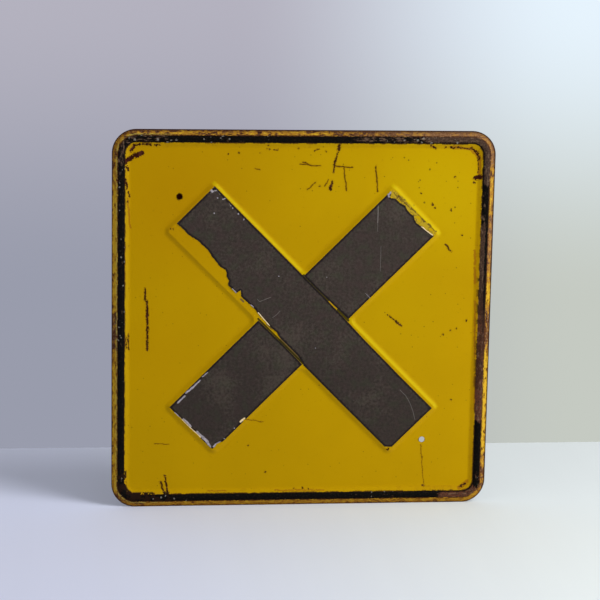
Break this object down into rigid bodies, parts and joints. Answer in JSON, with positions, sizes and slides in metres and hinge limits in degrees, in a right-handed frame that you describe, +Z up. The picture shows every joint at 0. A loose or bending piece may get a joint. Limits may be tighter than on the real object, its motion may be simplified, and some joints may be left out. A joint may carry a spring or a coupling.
{
  "type": "embossed square warning sign",
  "caption": "Square pressed steel sign plate with a raised rim bead, a raised diagonal cross covered by worn dark sheeting strips, and bolt holes on one diagonal.",
  "frame": {"origin": "middle of the two bolt holes, in the plane of the back of the flat panel", "axes": "+X to the right and +Z up as the sign stands in the picture, and the face looks along -Y; as a road sign it hangs turned 45 degrees, with the two holes one above the other"},
  "size_m": [0.6096, 0.0065, 0.6096],
  "materials": {
    "yellow_enamel": "worn satin enamel with rust",
    "dark_sheeting": "fine grained matt"
  },
  "bodies": {
    "root": {"sign_plate": "yellow_enamel", "long_strip": "dark_sheeting", "upper_strip": "dark_sheeting", "lower_strip": "dark_sheeting"}
  },
  "joints": []
}
